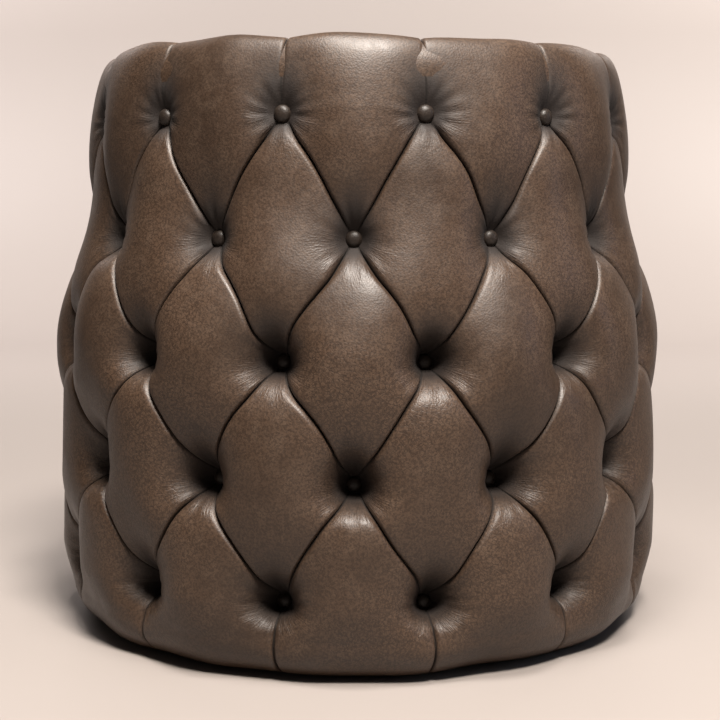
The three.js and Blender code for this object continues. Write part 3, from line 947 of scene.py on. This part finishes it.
def add_bead(patches, centre, along, out, sizes):
    """A small smooth stitch: long, wide and high by sizes, lying along a direction."""
    side = np.cross(out, along)
    rings, spokes = np.linspace(-np.pi / 2, np.pi / 2, 7), np.linspace(0, 2 * np.pi, 9)
    rise, turn = np.meshgrid(rings, spokes, indexing="ij")
    local = np.stack([
        sizes[0] / 2 * np.sin(rise), sizes[1] / 2 * np.cos(rise) * np.cos(turn),
        sizes[2] / 2 * np.cos(rise) * np.sin(turn),
    ], -1)
    points = np.array(centre) + local[..., :1] * along + local[..., 1:2] * side + local[..., 2:] * out
    patches.add(points, points[..., :2], flip=True)


def make_stitches():
    """A row of stitches along each edge of the tab."""
    path, run = tab_path()
    slope = np.gradient(path, run, axis=0)
    half = (TAB_HIGH.x - TAB_LOW.x) / 2
    patches = Patches()
    for at in np.arange(0.018, run[-1] - 0.004, STITCH_PITCH):
        centre = [np.interp(at, run, path[:, k]) for k in range(2)]
        direction = [np.interp(at, run, slope[:, k]) for k in range(2)]
        along = np.array([0, -direction[0], direction[1]])
        along /= np.linalg.norm(along)
        out = np.array([0, -direction[1], -direction[0]])
        out /= np.linalg.norm(out)
        for side in (-1, 1):
            place = np.array([side * (half - STITCH_MARGIN), -centre[0], centre[1]]) + out * TAB_THICK * 0.5
            add_bead(patches, place, along, out, STITCH_SIZES)
    return patches.build("tab_stitches")


stitches = placed(make_stitches(), "lid", "dark_leather")


# ------------------------------------------------------------------ smooth turned pieces

def turned_piece(name, node, body, slot, outline, closed=True, sides=128):
    return placed(turned(name, outline, sides, closed), body, slot, node)


def disc_outline(radius, bottom, top, corner):
    """A disc's section from the middle of its underside to the middle of its top."""
    section = rounded_ring(-radius, radius, bottom, top, corner)
    return [(0, bottom)] + [point for point in section if point[0] > 0] + [(0, top)]


def box_sizes(node):
    low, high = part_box(node)
    return high.y, low.z, high.z


def make_disc(name, node, body, slot, corner):
    radius, bottom, top = box_sizes(node)
    return turned_piece(name, node, body, slot, disc_outline(radius, bottom, top, corner), closed=False)


BORE_RADIUS = 0.150
LINER_THICK = 0.0025
RING_OUTER, RING_BOTTOM, RING_TOP = box_sizes("top_ring")
LINER_OUTER, LINER_BOTTOM, LINER_TOP = box_sizes("inner_liner")
LINER_INNER = LINER_OUTER - LINER_THICK

ledge = turned_piece(
    "top_ledge", "top_ring", "case", "plywood",
    rounded_ring(BORE_RADIUS, RING_OUTER, RING_BOTTOM, RING_TOP, 0.0008),
)
lid_panel = make_disc("lid_panel", "lid_board", "lid", "plywood", 0.0008)
lid_plug = make_disc("lid_plug", "lid_locator", "lid", "plywood", 0.0015)
well_lining = turned_piece(
    "well_lining", "inner_liner", "case", "lining",
    rounded_ring(LINER_INNER, LINER_OUTER, LINER_BOTTOM, LINER_TOP, 0.0011),
)
well_floor = make_disc("well_floor", "floor_lining", "case", "lining", 0.0012)
lid_underside = make_disc("lid_underside", "lid_lining", "lid", "lining", 0.0006)
base_cloth = make_disc("base_cloth", "dust_cover", "case", "black_cloth", 0.0003)


def make_glide(number):
    """A nailed-on glide with a rounded foot."""
    low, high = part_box(f"glide_{number}")
    radius = (high.x - low.x) / 2
    middle = (low + high) / 2
    rim = squarish_arc((radius - 0.0022, 0.0028), (0.0022, -0.0028), 2, 0, 90, 7)[::-1]
    bevel = 0.0006
    outline = [(0, 0)] + [tuple(point) for point in rim] + [(radius, high.z - bevel)]
    outline += [(radius - bevel, high.z), (0, high.z)]
    name, node = f"foot_glide_{number}", f"glide_{number}"
    piece = turned_piece(name, node, "case", "black_plastic", outline, closed=False, sides=48)
    piece.data.transform(Matrix.Translation((middle.x, middle.y, 0)))
    return piece


glides = [make_glide(number) for number in range(1, 5)]


# ------------------------------------------------------------------ material helpers

class Shader:
    """A node material, built from small expressions. A value may be a number or another node's output."""

    def __init__(self, name, **constants):
        self.material = bpy.data.materials.new(name)
        self.material.use_nodes = True
        self.tree = self.material.node_tree
        self.surface = self.tree.nodes["Principled BSDF"]
        for socket, value in constants.items():
            self.surface.inputs[socket.replace("_", " ")].default_value = value

    def node(self, kind, values=(), output=0, **settings):
        made = self.tree.nodes.new(kind)
        for name, value in settings.items():
            setattr(made, name, value)
        for socket, value in dict(values).items():
            self.feed(made.inputs[socket], value)
        return made.outputs[output]

    def feed(self, socket, value):
        if isinstance(value, bpy.types.NodeSocket):
            self.tree.links.new(value, socket)
        else:
            socket.default_value = value

    def math(self, operation, *values):
        return self.node("ShaderNodeMath", enumerate(values), operation=operation)

    def times(self, first, second):
        return self.math("MULTIPLY", first, second)

    def plus(self, first, second):
        return self.math("ADD", first, second)

    def axis(self, vector, name):
        return self.node("ShaderNodeSeparateXYZ", {"Vector": vector}, output=name)

    def attribute(self, name, kind="Fac"):
        return self.node("ShaderNodeAttribute", output=kind, attribute_name=name)

    def place(self, scale=(1, 1, 1)):
        coordinate = self.node("ShaderNodeTexCoord", output="Object")
        return self.node("ShaderNodeMapping", {"Vector": coordinate, "Scale": scale})

    def noise(self, where, scale, detail=3, roughness=0.55, distortion=0.0):
        values = {"Vector": where, "Scale": scale, "Detail": detail, "Roughness": roughness}
        return self.node("ShaderNodeTexNoise", {**values, "Distortion": distortion})

    def cells(self, where, scale, feature="F1"):
        return self.node("ShaderNodeTexVoronoi", {"Vector": where, "Scale": scale}, feature=feature)

    def ramp(self, value, low, high, start=0.0, end=1.0):
        """start below low, end above high, smooth between."""
        values = {"Value": value, "From Min": low, "From Max": high, "To Min": start, "To Max": end}
        return self.node("ShaderNodeMapRange", values, interpolation_type="SMOOTHSTEP")

    def mix(self, factor, first, second):
        made = self.tree.nodes.new("ShaderNodeMix")
        made.data_type = "RGBA"
        self.feed(made.inputs["Factor"], factor)
        self.feed(made.inputs[6], first)
        self.feed(made.inputs[7], second)
        return made.outputs[2]

    def bump(self, height_in_metres):
        return self.node("ShaderNodeBump", {"Height": height_in_metres, "Distance": 1.0, "Strength": 1.0})

    def finish(self, **linked):
        for socket, value in linked.items():
            self.feed(self.surface.inputs[socket.replace("_", " ")], value)
        return self.material


def radial_wrinkles(shader):
    """Fine gathers that run out from each button, strongest beside and below it."""
    to_button = shader.attribute("to_button", "Vector")
    away = shader.attribute("button_gap")
    ray = shader.node("ShaderNodeVectorMath", {0: to_button}, operation="NORMALIZE")
    drift = shader.node("ShaderNodeCombineXYZ", {"Z": shader.times(away, 6.0)})
    where = shader.node("ShaderNodeVectorMath", {0: ray, 1: drift}, operation="ADD")
    streaks = shader.noise(where, 13.0, detail=2, roughness=0.6)
    ridges = shader.math("ABSOLUTE", shader.math("SUBTRACT", streaks, 0.5))
    upward = shader.axis(ray, "Y")
    inner = shader.ramp(away, 0.008, 0.013)
    outer = shader.ramp(away, 0.014, 0.042, 1.0, 0.0)
    below = shader.ramp(upward, -0.1, 0.5, 1.0, 0.1)
    share = shader.times(shader.times(inner, outer), below)
    return shader.times(ridges, share)


def leather(name, dark, middle, light, specular=0.38, deep=False):
    """Antiqued leather: mottled, finely grained and cracked. Where deep, painted shade darkens its folds
    and the leather round its buttons.
    """
    shader = Shader(name, Specular_IOR_Level=specular, Coat_Weight=0.04, Coat_Roughness=0.3)
    where = shader.place()
    clouds = shader.noise(where, 8.0, detail=5, roughness=0.6)
    blotches = shader.noise(where, 60.0, detail=5, roughness=0.7, distortion=0.4)
    speckle = shader.noise(where, 560.0, detail=3, roughness=0.7)
    colour = shader.mix(shader.ramp(clouds, 0.25, 0.60, 0.25, 1.0), dark, middle)
    colour = shader.mix(shader.ramp(blotches, 0.42, 0.72, 0.0, 0.24), colour, light)
    colour = shader.mix(shader.ramp(speckle, 0.42, 0.60, 0.0, 0.72), colour, dark)
    pebble = shader.times(shader.cells(where, 720.0), 0.00009)
    wander = shader.node("ShaderNodeCombineXYZ", {"X": shader.times(blotches, 0.004)})
    shifted = shader.node("ShaderNodeVectorMath", {0: where, 1: wander}, operation="ADD")
    cracks = shader.cells(shifted, 260.0, "DISTANCE_TO_EDGE")
    crack_share = shader.ramp(cracks, 0.0, 0.10, 1.0, 0.0)
    crack_line = shader.times(crack_share, shader.ramp(clouds, 0.42, 0.6))
    colour = shader.mix(shader.times(crack_line, 0.6), colour, dark)
    undulation = shader.times(shader.noise(where, 45.0, detail=3), 0.0003)
    height = shader.plus(pebble, undulation)
    height = shader.math("SUBTRACT", height, shader.times(crack_line, 0.00006))
    roughness = shader.ramp(blotches, 0.3, 0.7, 0.43, 0.53)
    if deep:
        # painted shade round each button: the leather is painted dark where the pillows shade their hollows
        gather = shader.attribute("gather")
        colour = shader.mix(shader.ramp(gather, 0.06, 0.75, 0.0, 0.93), colour, (0.008, 0.005, 0.004, 1))
        # painted shade: a dark line along the bottom of each fold
        fold = shader.attribute("fold")
        colour = shader.mix(shader.ramp(fold, 0.15, 0.9, 0.0, 0.85), colour, (0.006, 0.004, 0.003, 1))
        roughness = shader.plus(roughness, shader.ramp(gather, 0.1, 0.7, 0.0, 0.3))
        roughness = shader.plus(roughness, shader.ramp(fold, 0.1, 0.7, 0.0, 0.2))
        wrinkles = shader.times(radial_wrinkles(shader), 0.0010)
        height = shader.plus(height, wrinkles)
    return shader.finish(Base_Color=colour, Roughness=roughness, Normal=shader.bump(height))


DARK_BROWN = (0.021, 0.0118, 0.0070, 1)
MIDDLE_BROWN = (0.060, 0.0362, 0.0228, 1)
LIGHT_BROWN = (0.106, 0.070, 0.046, 1)

wall_material = leather("wall_leather", DARK_BROWN, MIDDLE_BROWN, LIGHT_BROWN, deep=True)
BUTTON_BROWNS = [(0.009, 0.0060, 0.0043, 1), (0.020, 0.0135, 0.0098, 1), (0.038, 0.026, 0.0190, 1)]
button_material = leather("button_leather", *BUTTON_BROWNS, specular=0.32)


def object_weave(shader, where, pitch):
    """A plain weave: height from 0 to 1, with threads a pitch apart."""
    split = shader.axis(where, "X")
    turns = math.pi / pitch
    across = shader.math("SINE", shader.times(split, turns))
    along = shader.math("SINE", shader.times(split.node.outputs["Y"], turns))
    over = shader.math("GREATER_THAN", shader.times(across, along), 0.0)
    first, second = shader.math("ABSOLUTE", across), shader.math("ABSOLUTE", along)
    picked = shader.times(over, shader.math("SUBTRACT", first, second))
    return shader.plus(second, picked)


def cloth(name, dark, light, pitch, flat_map=False):
    """Woven cloth. With flat_map its threads follow a bent sheet's own flat map."""
    shader = Shader(name, Roughness=0.9, Sheen_Weight=0.15, Sheen_Roughness=0.4)
    where = shader.place()
    if flat_map:
        where = shader.node("ShaderNodeUVMap", uv_map="flat")
    threads = object_weave(shader, where, pitch)
    slub = shader.noise(shader.place((1, 8, 1)), 180.0, detail=3)
    tone = shader.plus(shader.times(threads, 0.6), shader.times(slub, 0.4))
    colour = shader.mix(tone, dark, light)
    height = shader.times(threads, 0.25 * pitch)
    return shader.finish(Base_Color=colour, Normal=shader.bump(height))


def felt(name, dark, light):
    shader = Shader(name, Roughness=0.95)
    fibres = shader.noise(shader.place(), 700.0, detail=4, roughness=0.7)
    clouds = shader.noise(shader.place(), 30.0)
    colour = shader.mix(shader.times(fibres, clouds), dark, light)
    return shader.finish(Base_Color=colour, Normal=shader.bump(shader.times(fibres, 0.0003)))


def foam_look():
    shader = Shader("open_cell_foam", Roughness=0.95)
    cells = shader.cells(shader.place(), 900.0)
    clouds = shader.noise(shader.place(), 12.0)
    colour = shader.mix(cells, (0.42, 0.34, 0.17, 1), (0.72, 0.63, 0.38, 1))
    colour = shader.mix(shader.ramp(clouds, 0.4, 0.7, 0.0, 0.3), colour, (0.60, 0.47, 0.22, 1))
    return shader.finish(Base_Color=colour, Normal=shader.bump(shader.times(cells, 0.0004)))


def wood(name, pale, dark, stretch, plies=0.0):
    """Long grain along the stretched axis; plies is the thickness of one ply, seen on upright edges."""
    shader = Shader(name, Roughness=0.62)
    grain = shader.noise(shader.place(stretch), 26.0, detail=5, roughness=0.62, distortion=0.7)
    pores = shader.noise(shader.place([8 * part for part in stretch]), 60.0, detail=2)
    colour = shader.mix(shader.ramp(grain, 0.35, 0.68), pale, dark)
    colour = shader.mix(shader.ramp(pores, 0.56, 0.72, 0.0, 0.4), colour, dark)
    if plies:
        upright = shader.node("ShaderNodeNewGeometry", output="Normal")
        level = shader.axis(upright, "Z")
        facing = shader.math("ABSOLUTE", level)
        edge = shader.ramp(facing, 0.3, 0.6, 1.0, 0.0)
        height = shader.axis(shader.place(), "Z")
        layer = shader.math("SINE", shader.times(height, math.pi / plies))
        striped = shader.mix(shader.ramp(layer, -0.3, 0.3), colour, dark)
        colour = shader.mix(edge, colour, striped)
    height = shader.times(shader.plus(grain, pores), 0.00025)
    return shader.finish(Base_Color=colour, Normal=shader.bump(height))


def fibreboard_look():
    shader = Shader("pressed_fibreboard", Roughness=0.8)
    fibres = shader.noise(shader.place((3, 3, 1)), 240.0, detail=5, roughness=0.7)
    colour = shader.mix(shader.ramp(fibres, 0.35, 0.65), (0.17, 0.09, 0.042, 1), (0.32, 0.19, 0.10, 1))
    return shader.finish(Base_Color=colour, Normal=shader.bump(shader.times(fibres, 0.0002)))


def moulded_plastic():
    shader = Shader("moulded_plastic", Specular_IOR_Level=0.5)
    peel = shader.noise(shader.place(), 900.0, detail=2)
    scuffs = shader.noise(shader.place((1, 6, 1)), 120.0, detail=4, roughness=0.7)
    colour = shader.mix(shader.ramp(scuffs, 0.55, 0.75), (0.010, 0.010, 0.011, 1), (0.030, 0.029, 0.028, 1))
    roughness = shader.ramp(scuffs, 0.4, 0.7, 0.38, 0.60)
    return shader.finish(
        Base_Color=colour, Roughness=roughness, Normal=shader.bump(shader.times(peel, 0.00012)),
    )


def thread_look():
    shader = Shader("waxed_thread", Roughness=0.55)
    twist = shader.noise(shader.place((1, 3, 3)), 900.0, detail=1)
    colour = shader.mix(twist, (0.035, 0.022, 0.014, 1), (0.11, 0.075, 0.05, 1))
    return shader.finish(Base_Color=colour, Normal=shader.bump(shader.times(twist, 0.0002)))


PLY_THICKNESS = 0.0015
plywood = wood("birch_plywood", (0.62, 0.43, 0.23, 1), (0.44, 0.26, 0.115, 1), (1, 12, 12), PLY_THICKNESS)
stained = wood("stained_plywood", (0.060, 0.032, 0.016, 1), (0.026, 0.014, 0.008, 1), (1, 12, 12))
softwood = wood("planed_softwood", (0.72, 0.50, 0.26, 1), (0.50, 0.29, 0.12, 1), (14, 14, 1))
LINING_DARK, LINING_LIGHT = (0.016, 0.012, 0.010, 1), (0.060, 0.046, 0.037, 1)
THREAD_PITCH = 0.0007
lining_tube = cloth("lining_weave_upright", LINING_DARK, LINING_LIGHT, THREAD_PITCH, flat_map=True)
lining_flat = cloth("lining_weave", LINING_DARK, LINING_LIGHT, THREAD_PITCH)

looks = {
    "leather": wall_material,
    "dark_leather": button_material,
    "foam": foam_look(),
    "plywood": plywood,
    "softwood": softwood,
    "fibreboard": fibreboard_look(),
    "lining": lining_flat,
    "black_cloth": felt("black_felt", (0.004, 0.004, 0.004, 1), (0.030, 0.029, 0.028, 1)),
    "black_plastic": moulded_plastic(),
}
new_pieces = {
    "leather": [wall, lid],
    "dark_leather": [*wall_buttons, *lid_buttons, welt, tab],
    "foam": padding,
    "plywood": [lid_panel, lid_plug],
    "lining": [well_floor, lid_underside],
    "black_cloth": [base_cloth],
    "black_plastic": glides,
}
for slot, pieces in new_pieces.items():
    for piece in pieces:
        piece.data.materials.append(looks[slot])
well_lining.data.materials.append(lining_tube)
ledge.data.materials.append(stained)
stitches.data.materials.append(thread_look())
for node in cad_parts.values():
    for index, old in enumerate(node.data.materials):
        node.data.materials[index] = looks[old.name.split(".")[0]]


# ------------------------------------------------------------------ floor, light and camera

BACKDROP_Y = 2.9


def make_stage():
    """A pale floor that curves up into a pale backdrop, far enough off to see the object from behind."""
    width, front, back, bend, height = 8.0, -4.0, BACKDROP_Y, 0.8, 3.5
    angle = np.linspace(0, np.pi / 2, 16)
    depth = np.concatenate([[front], back - bend + bend * np.sin(angle), [back]])
    rise = np.concatenate([[0], bend - bend * np.cos(angle), [height]])
    side = np.linspace(-width / 2, width / 2, 3)
    points = np.stack(np.broadcast_arrays(side, depth[:, None], rise[:, None]), -1)
    patches = Patches()
    patches.add(points, points[..., :2])
    floor = patches.build("floor_and_backdrop")
    shader = Shader("pale_plaster", Roughness=0.55)
    tone = shader.noise(shader.place(), 1.5)
    depth = shader.axis(shader.place(), "Y")
    upright = shader.mix(tone, (0.345, 0.310, 0.292, 1), (0.362, 0.325, 0.306, 1))
    # painted shade: the floor is painted darker near the object, where the lamps light it most, and paler
    # towards the backdrop
    level = shader.mix(tone, (0.250, 0.223, 0.208, 1), (0.262, 0.234, 0.219, 1))
    colour = shader.mix(shader.ramp(depth, 0.4, 1.8), level, upright)
    floor.data.materials.append(shader.finish(Base_Color=colour))


def add_light(name, place, target, size, power, colour):
    lamp = bpy.data.lights.new(name, "AREA")
    lamp.shape, lamp.size, lamp.size_y = "RECTANGLE", size[0], size[1]
    lamp.energy, lamp.color = power, colour
    holder = bpy.data.objects.new(name, lamp)
    holder.location = place
    holder.rotation_euler = (Vector(target) - Vector(place)).to_track_quat("-Z", "Y").to_euler()
    bpy.context.scene.collection.objects.link(holder)


def soft_room():
    """A faint warm fill light. Seen past the edge of the floor, the room is as pale as the backdrop."""
    world = bpy.data.worlds.new("soft_room")
    world.use_nodes = True
    tree = world.node_tree
    background = tree.nodes["Background"]
    background.inputs["Color"].default_value = (1.0, 0.95, 0.91, 1)
    seen = tree.nodes.new("ShaderNodeLightPath").outputs["Is Camera Ray"]
    strength = tree.nodes.new("ShaderNodeMapRange")
    strength.inputs["To Min"].default_value = 0.05
    strength.inputs["To Max"].default_value = 0.62
    tree.links.new(seen, strength.inputs["Value"])
    tree.links.new(strength.outputs["Result"], background.inputs["Strength"])
    return world


def make_lights():
    bpy.context.scene.world = soft_room()
    middle = (0, 0, 0.25)
    add_light("key", (0.38, -1.3, 2.2), middle, (0.55, 0.4), 132, (1.0, 0.92, 0.84))
    add_light("top", (0.0, -0.62, 2.3), middle, (0.7, 0.6), 74, (1.0, 0.94, 0.88))
    add_light("cool_side", (2.0, -0.5, 0.8), middle, (0.6, 1.2), 4, (0.62, 0.76, 1.0))
    wash_y = BACKDROP_Y - 0.9
    add_light("wash_left", (-1.6, wash_y, 1.8), (-0.8, BACKDROP_Y, 0.6), (1.0, 1.0), 37, (1.0, 0.94, 0.93))
    add_light("wash_right", (1.6, wash_y, 1.8), (0.8, BACKDROP_Y, 0.6), (1.0, 1.0), 45, (1.0, 0.94, 0.90))


def make_camera():
    """The eye is a little above the middle of the drum, below the rim, and looks slightly down."""
    distance, eye_z = 1.2325, 0.346
    turn, tilt, aim = math.radians(0.83), math.radians(6.45), math.radians(-0.07)
    focal_share = 1447 / 720  # focal length over picture width
    camera = bpy.data.cameras.new("camera")
    camera.sensor_width = 36
    camera.lens = focal_share * camera.sensor_width
    camera.clip_start = 0.05
    holder = bpy.data.objects.new("camera", camera)
    holder.location = (distance * math.sin(turn), -distance * math.cos(turn), eye_z)
    holder.rotation_euler = (math.pi / 2 - tilt, 0, turn + aim)
    bpy.context.scene.collection.objects.link(holder)
    bpy.context.scene.camera = holder


make_stage()
make_lights()
make_camera()
bpy.context.scene.view_settings.view_transform = "Standard"
